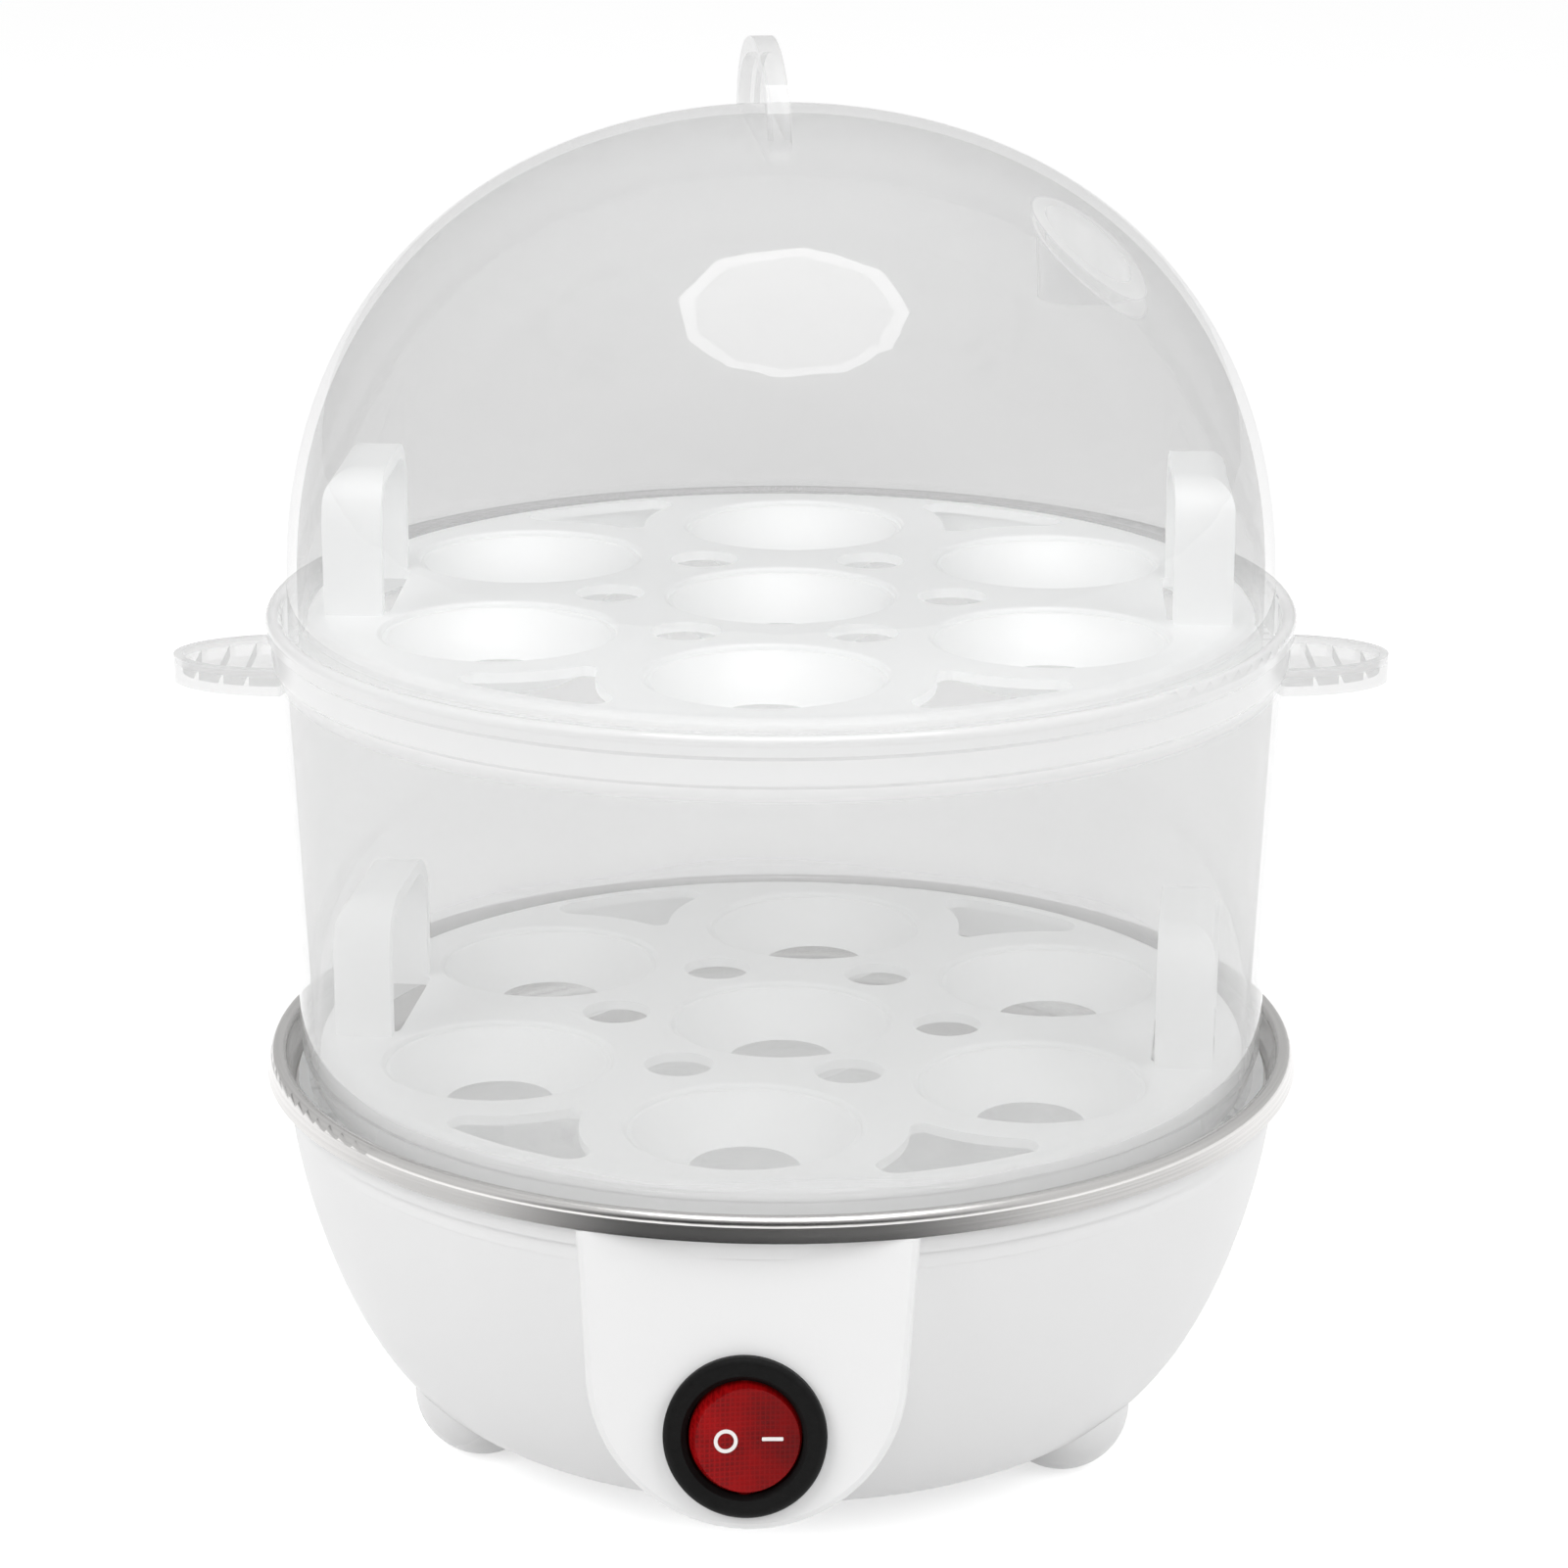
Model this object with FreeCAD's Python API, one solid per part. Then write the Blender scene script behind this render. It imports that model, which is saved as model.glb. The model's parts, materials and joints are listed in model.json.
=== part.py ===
"""Two-tier egg cooker: bowl-shaped base, steel water dish, two egg trays, steamer tier and domed lid.

Millimetres, +Z up, and the switch faces -Y. The pieces are made about the axis of the round base, on the
table, then moved together so that the origin is under the middle of the whole outline.
"""
import FreeCAD, Part
import math
import os

V = FreeCAD.Vector
AXIS = V(0, 0, 1)
CENTRE = V(0, 0, 0)

# Base bowl
BOWL_LIFT_HEIGHT = 5.3   # table to the flat underside
BOWL_TOP = 57.3          # table to the lower edge of the steel rim
BOWL_SPREAD = 23.4       # bowl's wall at the top out from its flat floor
BOWL_WALL = 2.4
BOWL_BELLY = 12.6        # how far down the wall stays upright
BOWL_TURN_OUT = 13.9     # how far out the floor stays level
BOWL_TURN_RISE = 2.6
BAND_HEIGHT = 3.3        # proud band under the rim
BAND_STEP = 1.1
SEAT_DEPTH = 3.0         # shoulder that carries the dish's ledge
SEAT_GAP = 0.2
TONGUE_HEIGHT = 1.7      # edge of the bowl, up into the rolled rim

# Steel water dish with its rolled rim
RIM_RADIUS = 80.0
RIM_HEIGHT = 3.5
RIM_TUCK = 0.6           # the rim leans in this far at its shoulder
RIM_SHOULDER = 2.1
STEEL = 0.5
DISH_LEDGE_DEPTH = 2.6   # rim's lower edge down to the ledge
RIM_WIDTH = 3.3          # dish mouth to the outside of the rim
RIM_OVERHANG = 2.3       # the rim stands out past the bowl's band
DISH_FLARE = 1.1         # the dish opens this much from its ledge to its mouth
DISH_LEDGE_WIDTH = 4.0
DISH_DEPTH = 10.4        # ledge to dish floor
DISH_FLOOR_ROUND = 5.6

# Egg trays
TRAY_GAP = 0.4           # all round the flange, in the dish and in the collar
TRAY_FLANGE = 1.2
TRAY_HEIGHT = 7.5        # flange underside to the top of the plate
TRAY_FLANGE_WIDTH = 3.5
TRAY_WALL = 1.5
TRAY_EDGE_ROUND = 2.5
CUP_MARGIN = 7.7         # outer cups to the edge of the plate
CUP_COUNT = 6
CUP_SPACING = 12.4       # middle cup's mouth to the mouths round it
CUP_HOLE_RADIUS = 8.2
CUP_DEPTH = 6.6
CUP_WALL = 1.3
CUP_ROUND = 0.8          # softened edge of the cup's mouth
STEAM_MARGIN = 3.5       # middle cup's mouth to the steam holes
STEAM_HOLE_RADIUS = 5.3
WINDOW_MARGIN = 4.0      # three-cornered windows to the edge of the plate
WINDOW_WEB = 7.0         # plate left between a cup's mouth and a window
WINDOW_OUTER_ROUND = 3.0
WINDOW_INNER_ROUND = 1.8
HANDLE_MARGIN = 4.2      # strap handle to the edge of the plate
HANDLE_WIDTH = 8.8
HANDLE_SPAN = 27.0       # between the legs
HANDLE_STRAP = 2.2
HANDLE_HEIGHT = 21.0
HANDLE_ROUND = 8.0
HANDLE_SHOULDER = 4.0
SLOT_MARGIN = 0.7        # slot under the handle reaches this far inward of the strap

# Steamer tier
TIER_HEIGHT = 67.0       # foot of the wall to the ledge for the upper tray
TIER_INSET = 1.6         # the tier stands this far in from the edge of the flange
TIER_SPIGOT_WALL = 1.4
TIER_SPIGOT = 5.2        # height of the spigot, up to its step
TIER_STEP = 0.8
TIER_FLARE = 2.2         # the wall leans out this much over its height
TIER_WALL = 1.6
COLLAR_WALL = 1.6
COLLAR_HEIGHT = 6.9
COLLAR_LIP = 0.7
COLLAR_LIP_HEIGHT = 2.6
SHELF_REST = 1.6         # the flange lies this far onto the shelf
SHELF_DEPTH = 3.4
EAR_LENGTH = 16.0        # out from the wall of the tier
EAR_WIDTH = 22.0
EAR_THICKNESS = 4.1
EAR_DROP = 1.5           # ledge down to the top of the ear
EAR_RIM = 1.3
EAR_FLOOR = 1.2
EAR_RIBS = 3
EAR_RIB = 0.9

# Domed lid
LID_GAP = 1.0            # round the lid, in the collar
LID_WALL = 1.6
LID_UPRIGHT = 9.8        # straight wall below the dome
LID_RISE = 70.2
LID_FULLNESS = 0.60      # 0.552 would be a plain ellipse
VENT_INSET = 24.7        # vent's middle in from the lid's wall
VENT_ANGLE = -34.5
VENT_RADIUS = 6.8
VENT_FOOT_RADIUS = 6.0
VENT_WALL = 1.3
VENT_DEPTH = 23.8        # top of the dome down to the foot of the vent tube
FIN_LENGTH = 44.0
FIN_HEIGHT = 10.4        # above the top of the dome
FIN_FOOT = 3.3           # top of the dome down to where the fin's ends meet it
FIN_THICKNESS = 3.3
FIN_RIM = 2.4
FIN_POCKET = 0.9
FIN_OFFSET = 2.6         # the fin stands a little to one side of the axis

# How far the loose round pieces are turned on their seats, degrees about the axis
LOWER_TRAY_TURN = -3.1
UPPER_TRAY_TURN = 1.0
TIER_TURN = 3.5
LID_TURN = 10.2

# Switch panel on the front of the bowl
PANEL_TILT = 10.0
PANEL_INSET = 0.9        # the face's top edge stands behind the bowl's band
PANEL_TOP_WIDTH = 48.5
PANEL_WAIST_WIDTH = 45.6
PANEL_WAIST = 19.7       # down the face
PANEL_LENGTH = 42.5      # down the face
PANEL_WALL = 2.2
PANEL_ROUND = 1.0
SWITCH_DROP = 28.7       # down the face to the switch

# Round rocker switch
BEZEL_RADIUS = 11.6
BEZEL_HEIGHT = 2.0
BEZEL_ROUND = 1.0
BEZEL_BEVEL = 0.7        # slope at the mouth of the rocker's window
BEZEL_LAP = 1.7          # bezel beyond the barrel
BARREL_DEPTH = 13.0
BARREL_FIT = 0.1
ROCKER_RADIUS = 8.0
ROCKER_GAP = 0.25
ROCKER_FACE = 3.2        # pivot to the face
ROCKER_BACK = 3.0
ROCKER_TILT = 10.0
ROCKER_DISH = 60.0       # hollow of the face
PIVOT_DEPTH = 0.2        # panel face to the pivot
PIVOT_RADIUS = 0.9
PIVOT_REACH = 8.9
PIVOT_GAP = 0.2
TERMINAL_WIDTH = 4.8
TERMINAL_THICKNESS = 0.8
TERMINAL_LENGTH = 8.0
TERMINAL_PITCH = 7.0

# Feet
FOOT_RADIUS = 10.4
FOOT_INSET = 1.7         # in from the edge of the bowl's flat floor
FOOT_FLAT = 0.3
FOOT_STEM_RADIUS = 3.0
FOOT_STEM = 11.0
STEM_GAP = 0.1
FOOT_ANGLES = {"foot_rear": 90, "foot_front_left": 210, "foot_front_right": 330}

# Heater group under the dish
ELEMENT_INSET = 8.0      # in from the ring of posts
ELEMENT_RADIUS = 4.0
ELEMENT_FLAT = 0.9
ELEMENT_OPEN = 50.0      # degrees left open between the element's ends
PIN_RADIUS = 1.3
PIN_LENGTH = 9.0
THERMOSTAT_RADIUS = 8.6
THERMOSTAT_HEIGHT = 7.0
THERMOSTAT_FLANGE = 1.2
STRAP_WIDTH = 22.0
STRAP_THICKNESS = 0.8
STRAP_REACH = 19.0
STRAP_FOOT = 6.0
FUSE_RADIUS = 2.4
FUSE_LENGTH = 14.0
FUSE_INSET = 10.0        # in from the element

# Posts that carry the dish
POST_INSET = 9.2         # in from the edge of the bowl's flat floor
POST_RADIUS = 4.2
POST_TOP = 34.0
POST_ANGLES = (30, 150, 270)
SPACER_RADIUS = 3.2
SCREW_RADIUS = 1.5
SCREW_GAP = 0.2
HEAD_RADIUS = 3.0
HEAD_HEIGHT = 1.8
HEAD_RECESS = 2.2
SCREW_BITE = 5.0         # screw into the spacer

# Bottom cover
COVER_MARGIN = 6.1       # cover's edge to the feet
COVER_THICKNESS = 1.4
COVER_GAP = 0.3
COVER_SEAT = 3.0         # ledge that the cover lies on
COVER_SCREW_INSET = 5.0
COVER_SCREW_ANGLES = (90, 210, 330)
COVER_BOSS_RADIUS = 3.4
COVER_BOSS_HEIGHT = 9.0
COVER_SCREW_LENGTH = 7.0
COVER_SLOTS = 5
COVER_SLOT_WIDTH = 3.0
COVER_SLOT_LENGTH = 22.0
COVER_SLOT_PITCH = 7.0

# Cord inlet at the back
BUSH_HEIGHT = 24.0
BUSH_RADIUS = 6.4
BUSH_BORE = 3.7
BUSH_FLANGE_RADIUS = 8.4
BUSH_FLANGE = 2.0
BUSH_GAP = 0.1
PAD_RADIUS = 9.6         # flat pad round the inlet
PAD_PROUD = 4.0
PAD_DEPTH = 12.0

# Radii and places worked out from the sizes above
BAND_RADIUS = RIM_RADIUS - RIM_OVERHANG
BOWL_RADIUS = BAND_RADIUS - BAND_STEP
BOWL_FLOOR_RADIUS = BOWL_RADIUS - BOWL_SPREAD
PANEL_FRONT = BAND_RADIUS - PANEL_INSET
FOOT_RING_RADIUS = BOWL_FLOOR_RADIUS - FOOT_INSET
COVER_RADIUS = FOOT_RING_RADIUS - FOOT_RADIUS - COVER_MARGIN
COVER_SCREW_RING_RADIUS = COVER_RADIUS - COVER_SCREW_INSET
POST_RING_RADIUS = BOWL_FLOOR_RADIUS - POST_INSET
ELEMENT_RING_RADIUS = POST_RING_RADIUS - ELEMENT_INSET
FUSE_PLACE = ELEMENT_RING_RADIUS - FUSE_INSET
DISH_MOUTH_RADIUS = RIM_RADIUS - RIM_WIDTH
DISH_LEDGE_RADIUS = DISH_MOUTH_RADIUS - DISH_FLARE
DISH_WALL_RADIUS = DISH_LEDGE_RADIUS - DISH_LEDGE_WIDTH
DISH_FLOOR_RADIUS = DISH_WALL_RADIUS - DISH_FLOOR_ROUND
TRAY_FLANGE_RADIUS = DISH_LEDGE_RADIUS - TRAY_GAP
TRAY_SKIRT_RADIUS = TRAY_FLANGE_RADIUS - TRAY_FLANGE_WIDTH
CUP_TOP_RADIUS = (TRAY_SKIRT_RADIUS - CUP_MARGIN - CUP_SPACING) / 3
CUP_RING_RADIUS = 2 * CUP_TOP_RADIUS + CUP_SPACING
STEAM_RING_RADIUS = CUP_TOP_RADIUS + STEAM_MARGIN + STEAM_HOLE_RADIUS
WINDOW_REACH = TRAY_SKIRT_RADIUS - WINDOW_MARGIN
HANDLE_INNER = TRAY_SKIRT_RADIUS - HANDLE_MARGIN - HANDLE_WIDTH
TIER_SPIGOT_RADIUS = TRAY_FLANGE_RADIUS - TIER_INSET
TIER_FOOT_RADIUS = TIER_SPIGOT_RADIUS + TIER_STEP
TIER_TOP_RADIUS = TIER_FOOT_RADIUS + TIER_FLARE
SHELF_RADIUS = TRAY_FLANGE_RADIUS - SHELF_REST
COLLAR_BORE = TRAY_FLANGE_RADIUS + TRAY_GAP
COLLAR_RADIUS = COLLAR_BORE + COLLAR_WALL
EAR_REACH = TIER_TOP_RADIUS + EAR_LENGTH
LID_RADIUS = COLLAR_BORE - LID_GAP
VENT_RING_RADIUS = LID_RADIUS - VENT_INSET
BARREL_RADIUS = BEZEL_RADIUS - BEZEL_LAP
DISH_LEDGE = BOWL_TOP - DISH_LEDGE_DEPTH
DISH_FLOOR = DISH_LEDGE - DISH_DEPTH
DISH_UNDER = DISH_FLOOR - STEEL
LEDGE_UNDER = DISH_LEDGE - STEEL
RIM_SHOULDER_LEVEL = BOWL_TOP + RIM_SHOULDER
TIER_FOOT = DISH_LEDGE + TRAY_FLANGE
TIER_LEDGE = TIER_FOOT + TIER_HEIGHT
LID_FOOT = TIER_LEDGE + TRAY_FLANGE
LID_SPRING = LID_FOOT + LID_UPRIGHT
LID_TOP = LID_SPRING + LID_RISE
CUP_BAY = 360 / CUP_COUNT
CIRCLE_PULL = 0.5523     # pole distance that makes a quarter curve round


def polar(radius, degrees, z=0):
    """Point at a radius and an angle about the axis."""
    turn = math.radians(degrees)
    return V(radius * math.cos(turn), radius * math.sin(turn), z)


def turned_about_axis(shape, degrees):
    """Copy of a shape turned about the cooker's axis."""
    copy = shape.copy()
    copy.rotate(CENTRE, AXIS, degrees)
    return copy


def shifted(shape, step):
    """Copy of a shape moved by a step."""
    copy = shape.copy()
    copy.translate(step)
    return copy


def outline(start, *moves):
    """Wire in the XZ plane: a pair is a line, two pairs an arc through the first, three a curve."""
    def place(pair):
        return V(pair[0], 0, pair[1])
    first = here = place(start)
    edges = []
    for move in moves:
        if not isinstance(move[0], tuple):
            there = place(move)
            edges.append(Part.LineSegment(here, there).toShape())
        elif len(move) == 2:
            there = place(move[1])
            edges.append(Part.Arc(here, place(move[0]), there).toShape())
        else:
            there = place(move[2])
            curve = Part.BezierCurve()
            curve.setPoles([here, place(move[0]), place(move[1]), there])
            edges.append(curve.toShape())
        here = there
    edges.append(Part.LineSegment(here, first).toShape())
    return Part.Wire(edges)


def turned(start, *moves):
    """Solid of revolution about the axis from a closed half section."""
    return Part.Face(outline(start, *moves)).revolve(CENTRE, AXIS, 360)


def rod(radius, length, foot, direction=AXIS):
    return Part.makeCylinder(radius, length, foot, direction)


def joined(shapes):
    """One solid from overlapping shapes."""
    return shapes[0].fuse(shapes[1:]).removeSplitter()


def rounded_bar(width, depth, height, corner):
    """Upright bar with rounded corners, centred on the axis."""
    bar = Part.makeBox(width, depth, height, V(-width / 2, -depth / 2, 0))
    uprights = [edge for edge in bar.Edges if abs(edge.tangentAt(0).z) > 0.9]
    return bar.makeFillet(corner, uprights)


def half_ellipse(length, height):
    """Face in the XZ plane: half an ellipse standing on the X axis."""
    curve = Part.Ellipse(V(0, 0, 0), length / 2, height)
    curve.rotate(FreeCAD.Placement(V(0, 0, 0), FreeCAD.Rotation(V(1, 0, 0), 90)))
    arch = curve.toShape(0, math.pi)
    chord = Part.LineSegment(arch.Vertexes[-1].Point, arch.Vertexes[0].Point).toShape()
    return Part.Face(Part.Wire([arch, chord]))


# Egg tray

def arc_about(centre, start, end, radius):
    """Arc from start to end on the short side of a circle in the XY plane."""
    middle = ((start - centre).normalize() + (end - centre).normalize()).normalize() * radius + centre
    return Part.Arc(start, middle, end).toShape()


def far_meeting(centre, radius, reach):
    """Where a circle meets one about the axis, on the side nearer the X axis."""
    span = centre.Length
    along = (reach ** 2 - radius ** 2 + span ** 2) / (2 * span)
    aside = math.sqrt(reach ** 2 - along ** 2)
    forward = V(centre).normalize()
    sideways = V(forward.y, -forward.x, 0) * math.copysign(1, centre.y)
    return forward * along + sideways * aside


def window_face():
    """Three-cornered window on the X axis, its sides running round the two cups beside it."""
    side = CUP_TOP_RADIUS + WINDOW_WEB
    cups = [polar(CUP_RING_RADIUS, CUP_BAY / 2 * sign) for sign in (1, -1)]
    outer = [far_meeting(cup, side + WINDOW_OUTER_ROUND, WINDOW_REACH - WINDOW_OUTER_ROUND) for cup in cups]
    inner_reach = math.sqrt((side + WINDOW_INNER_ROUND) ** 2 - cups[0].y ** 2)
    inner = V(cups[0].x + inner_reach, 0, 0)

    def on_side(cup, corner):
        return cup + (corner - cup).normalize() * side

    rim = [V(corner).normalize() * WINDOW_REACH for corner in outer]
    wide = [on_side(cup, corner) for cup, corner in zip(cups, outer)]
    near = [on_side(cup, inner) for cup in cups]
    return Part.Face(Part.Wire([
        arc_about(outer[0], wide[0], rim[0], WINDOW_OUTER_ROUND),
        arc_about(CENTRE, rim[0], rim[1], WINDOW_REACH),
        arc_about(outer[1], rim[1], wide[1], WINDOW_OUTER_ROUND),
        arc_about(cups[1], wide[1], near[1], side),
        arc_about(inner, near[1], near[0], WINDOW_INNER_ROUND),
        arc_about(cups[0], near[0], wide[0], side),
    ]))


def tray_plate():
    """Raised plate with a rounded edge, a skirt and the flange that it hangs by."""
    inside = TRAY_SKIRT_RADIUS - TRAY_WALL
    under = TRAY_HEIGHT - TRAY_WALL
    corner = TRAY_EDGE_ROUND * (1 - math.sqrt(0.5))
    return turned(
        (0, under), (inside, under), (inside, 0), (TRAY_FLANGE_RADIUS, 0), (TRAY_FLANGE_RADIUS, TRAY_FLANGE),
        (TRAY_SKIRT_RADIUS, TRAY_FLANGE), (TRAY_SKIRT_RADIUS, TRAY_HEIGHT - TRAY_EDGE_ROUND),
        ((TRAY_SKIRT_RADIUS - corner, TRAY_HEIGHT - corner),
         (TRAY_SKIRT_RADIUS - TRAY_EDGE_ROUND, TRAY_HEIGHT)),
        (0, TRAY_HEIGHT))


def strap_handle():
    """Arched strap on the +X side, standing over its slot."""
    foot = TRAY_HEIGHT - TRAY_WALL / 2
    top = TRAY_HEIGHT + HANDLE_HEIGHT
    half = HANDLE_SPAN / 2 + HANDLE_STRAP

    def arch(half_width, crown, corner):
        body = Part.makeBox(HANDLE_WIDTH, 2 * half_width, crown - foot, V(HANDLE_INNER, -half_width, foot))
        edges = [edge for edge in body.Edges
                 if abs(edge.tangentAt(0).x) > 0.9 and edge.CenterOfMass.z > (foot + crown) / 2]
        return body.makeFillet(corner, edges)

    strap = arch(half, top, HANDLE_ROUND).cut(
        arch(half - HANDLE_STRAP, top - HANDLE_STRAP, HANDLE_ROUND - HANDLE_STRAP))
    outside = HANDLE_INNER + HANDLE_WIDTH
    shoulder = HANDLE_SHOULDER * (1 - math.sqrt(0.5))
    side = Part.Face(outline(
        (HANDLE_INNER, foot), (outside, foot), (outside, top - HANDLE_SHOULDER),
        ((outside - shoulder, top - shoulder), (outside - HANDLE_SHOULDER, top)), (HANDLE_INNER, top)))
    side.translate(V(0, -half, 0))
    return strap.common(side.extrude(V(0, 2 * half, 0)))


def handle_slot():
    inner = HANDLE_INNER - SLOT_MARGIN
    slot = rounded_bar(HANDLE_INNER + HANDLE_WIDTH - inner, HANDLE_SPAN, TRAY_HEIGHT, WINDOW_INNER_ROUND)
    slot.translate(V((HANDLE_INNER + HANDLE_WIDTH + inner) / 2, 0, TRAY_FLANGE))
    return slot


def cup_ball(wall):
    """Slice of a ball that runs from the hole to the mouth of a cup on the axis."""
    foot = TRAY_HEIGHT - CUP_DEPTH
    lift = (CUP_TOP_RADIUS ** 2 - CUP_HOLE_RADIUS ** 2 + CUP_DEPTH ** 2) / (2 * CUP_DEPTH)
    radius = math.hypot(CUP_HOLE_RADIUS, lift)
    ball = Part.makeSphere(radius + wall, V(0, 0, foot + lift))
    return ball.common(rod(CUP_TOP_RADIUS + 2 * CUP_WALL, CUP_DEPTH, V(0, 0, foot)))


def cup_mouth():
    """Softening of a cup's edge, on the axis."""
    low = TRAY_HEIGHT - CUP_ROUND
    outer = CUP_TOP_RADIUS + CUP_ROUND
    bend = CUP_ROUND * (1 - math.sqrt(0.5))
    return turned(
        (0, low), (CUP_TOP_RADIUS, low), ((CUP_TOP_RADIUS + bend, TRAY_HEIGHT - bend), (outer, TRAY_HEIGHT)),
        (0, TRAY_HEIGHT))


def egg_tray():
    """Tray for seven eggs, resting at z = 0 on its flange."""
    places = [CENTRE] + [polar(CUP_RING_RADIUS, CUP_BAY * (i + 0.5)) for i in range(CUP_COUNT)]
    shells = [shifted(cup_ball(CUP_WALL), place) for place in places]
    hollows = [shifted(cup_ball(0), place) for place in places]
    hollows += [shifted(cup_mouth(), place) for place in places]
    for i in range(CUP_COUNT):
        at = polar(STEAM_RING_RADIUS, CUP_BAY * i, TRAY_FLANGE)
        hollows.append(rod(STEAM_HOLE_RADIUS, TRAY_HEIGHT, at))
    window = window_face().extrude(V(0, 0, TRAY_HEIGHT))
    handles = []
    for i in range(CUP_COUNT):
        under_handle = i % (CUP_COUNT // 2) == 0
        hollows.append(turned_about_axis(handle_slot() if under_handle else window, CUP_BAY * i))
        if under_handle:
            handles.append(turned_about_axis(strap_handle(), CUP_BAY * i))
    body = tray_plate().fuse(shells).cut(hollows)
    return joined([body] + handles)


# Steamer tier

def ear():
    """Paddle on the +X side with a ribbed pocket on top."""
    root = TIER_TOP_RADIUS - TIER_WALL
    top = TIER_LEDGE - EAR_DROP

    def paddle(margin, height, foot):
        face = Part.Face(Part.Wire(Part.Ellipse(
            V(root, 0, foot), EAR_REACH - root - margin, EAR_WIDTH / 2 - margin).toShape()))
        return face.extrude(V(0, 0, height))

    body = paddle(0, EAR_THICKNESS, top - EAR_THICKNESS)
    pocket = paddle(EAR_RIM, EAR_THICKNESS, top - EAR_THICKNESS + EAR_FLOOR)
    pitch = (EAR_REACH - TIER_TOP_RADIUS) / (EAR_RIBS + 1)
    for i in range(EAR_RIBS):
        at = V(TIER_TOP_RADIUS + pitch * (i + 1) - EAR_RIB / 2, -EAR_WIDTH / 2, top - EAR_THICKNESS)
        pocket = pocket.cut(Part.makeBox(EAR_RIB, EAR_WIDTH, EAR_THICKNESS - EAR_RIB, at))
    return body.cut(pocket)


def steamer_tier():
    """Tapered wall with a collar for the upper tray and lid, and two ears."""
    step = TIER_FOOT + TIER_SPIGOT
    collar_foot = TIER_LEDGE - (COLLAR_RADIUS - TIER_TOP_RADIUS)
    lip = COLLAR_RADIUS + COLLAR_LIP
    top = TIER_LEDGE + COLLAR_HEIGHT
    middle = (lip + COLLAR_BORE) / 2
    outside = turned(
        (0, TIER_FOOT), (TIER_SPIGOT_RADIUS, TIER_FOOT), (TIER_SPIGOT_RADIUS, step),
        (TIER_FOOT_RADIUS, step), (TIER_TOP_RADIUS, collar_foot), (COLLAR_RADIUS, TIER_LEDGE),
        (COLLAR_RADIUS, top - COLLAR_LIP_HEIGHT - COLLAR_LIP),
        (lip, top - COLLAR_LIP_HEIGHT), (lip, top - COLLAR_LIP_HEIGHT / 2),
        ((middle + COLLAR_LIP, top), (COLLAR_BORE, top - COLLAR_LIP_HEIGHT / 4)),
        (COLLAR_BORE, TIER_LEDGE), (0, TIER_LEDGE))
    taper = (TIER_TOP_RADIUS - TIER_FOOT_RADIUS) / (collar_foot - step)
    shelf_foot = TIER_LEDGE - SHELF_DEPTH
    inside_top = TIER_FOOT_RADIUS + taper * (shelf_foot - step) - TIER_WALL
    inside = turned(
        (0, TIER_FOOT), (TIER_SPIGOT_RADIUS - TIER_SPIGOT_WALL, TIER_FOOT), (inside_top, shelf_foot),
        (SHELF_RADIUS, TIER_LEDGE - SHELF_DEPTH / 2), (SHELF_RADIUS, TIER_LEDGE), (0, TIER_LEDGE))
    ears = [turned_about_axis(ear(), turn) for turn in (0, 180)]
    return turned_about_axis(joined([outside] + ears).cut(inside), TIER_TURN)


# Domed lid

def dome(radius, foot, top):
    """Solid under a dome surface with an upright wall."""
    rise = (top - LID_SPRING) * LID_FULLNESS
    return turned(
        (0, foot), (radius, foot), (radius, LID_SPRING),
        ((radius, LID_SPRING + rise), (radius * LID_FULLNESS, top), (0, top)))


def fin():
    """Finger grip along the top: an arch with a thick rim and a thin web."""
    foot = LID_TOP - FIN_FOOT
    height = FIN_HEIGHT + FIN_FOOT
    plate = half_ellipse(FIN_LENGTH, height).extrude(V(0, FIN_THICKNESS, 0))
    for side in (-FIN_THICKNESS + FIN_POCKET, FIN_THICKNESS - FIN_POCKET):
        pocket = half_ellipse(FIN_LENGTH - 2 * FIN_RIM, height - FIN_RIM).extrude(V(0, FIN_THICKNESS, 0))
        pocket.translate(V(0, side, 0))
        plate = plate.cut(pocket)
    plate.translate(V(0, -FIN_THICKNESS / 2 + FIN_OFFSET, foot))
    return turned_about_axis(plate, 90)


def lid():
    """Dome with its steam vent tube and fin moulded in one."""
    outside = dome(LID_RADIUS, LID_FOOT, LID_TOP)
    cavity = dome(LID_RADIUS - LID_WALL, LID_FOOT, LID_TOP - LID_WALL)
    at = polar(VENT_RING_RADIUS, VENT_ANGLE, LID_TOP - VENT_DEPTH)
    tube = Part.makeCone(VENT_FOOT_RADIUS + VENT_WALL, VENT_RADIUS + VENT_WALL, VENT_DEPTH, at)
    bore = Part.makeCone(VENT_FOOT_RADIUS, VENT_RADIUS, VENT_DEPTH, at)
    body = joined([outside.cut(cavity), tube.common(outside), fin().cut(cavity)])
    return turned_about_axis(body.cut(bore), LID_TURN)


# Steel dish

def dish_back(z):
    """Radius of the dish's back between its ledge and its mouth."""
    share = (z - LEDGE_UNDER) / (RIM_SHOULDER_LEVEL - LEDGE_UNDER)
    return DISH_LEDGE_RADIUS + STEEL + share * (DISH_MOUTH_RADIUS - DISH_LEDGE_RADIUS)


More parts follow.
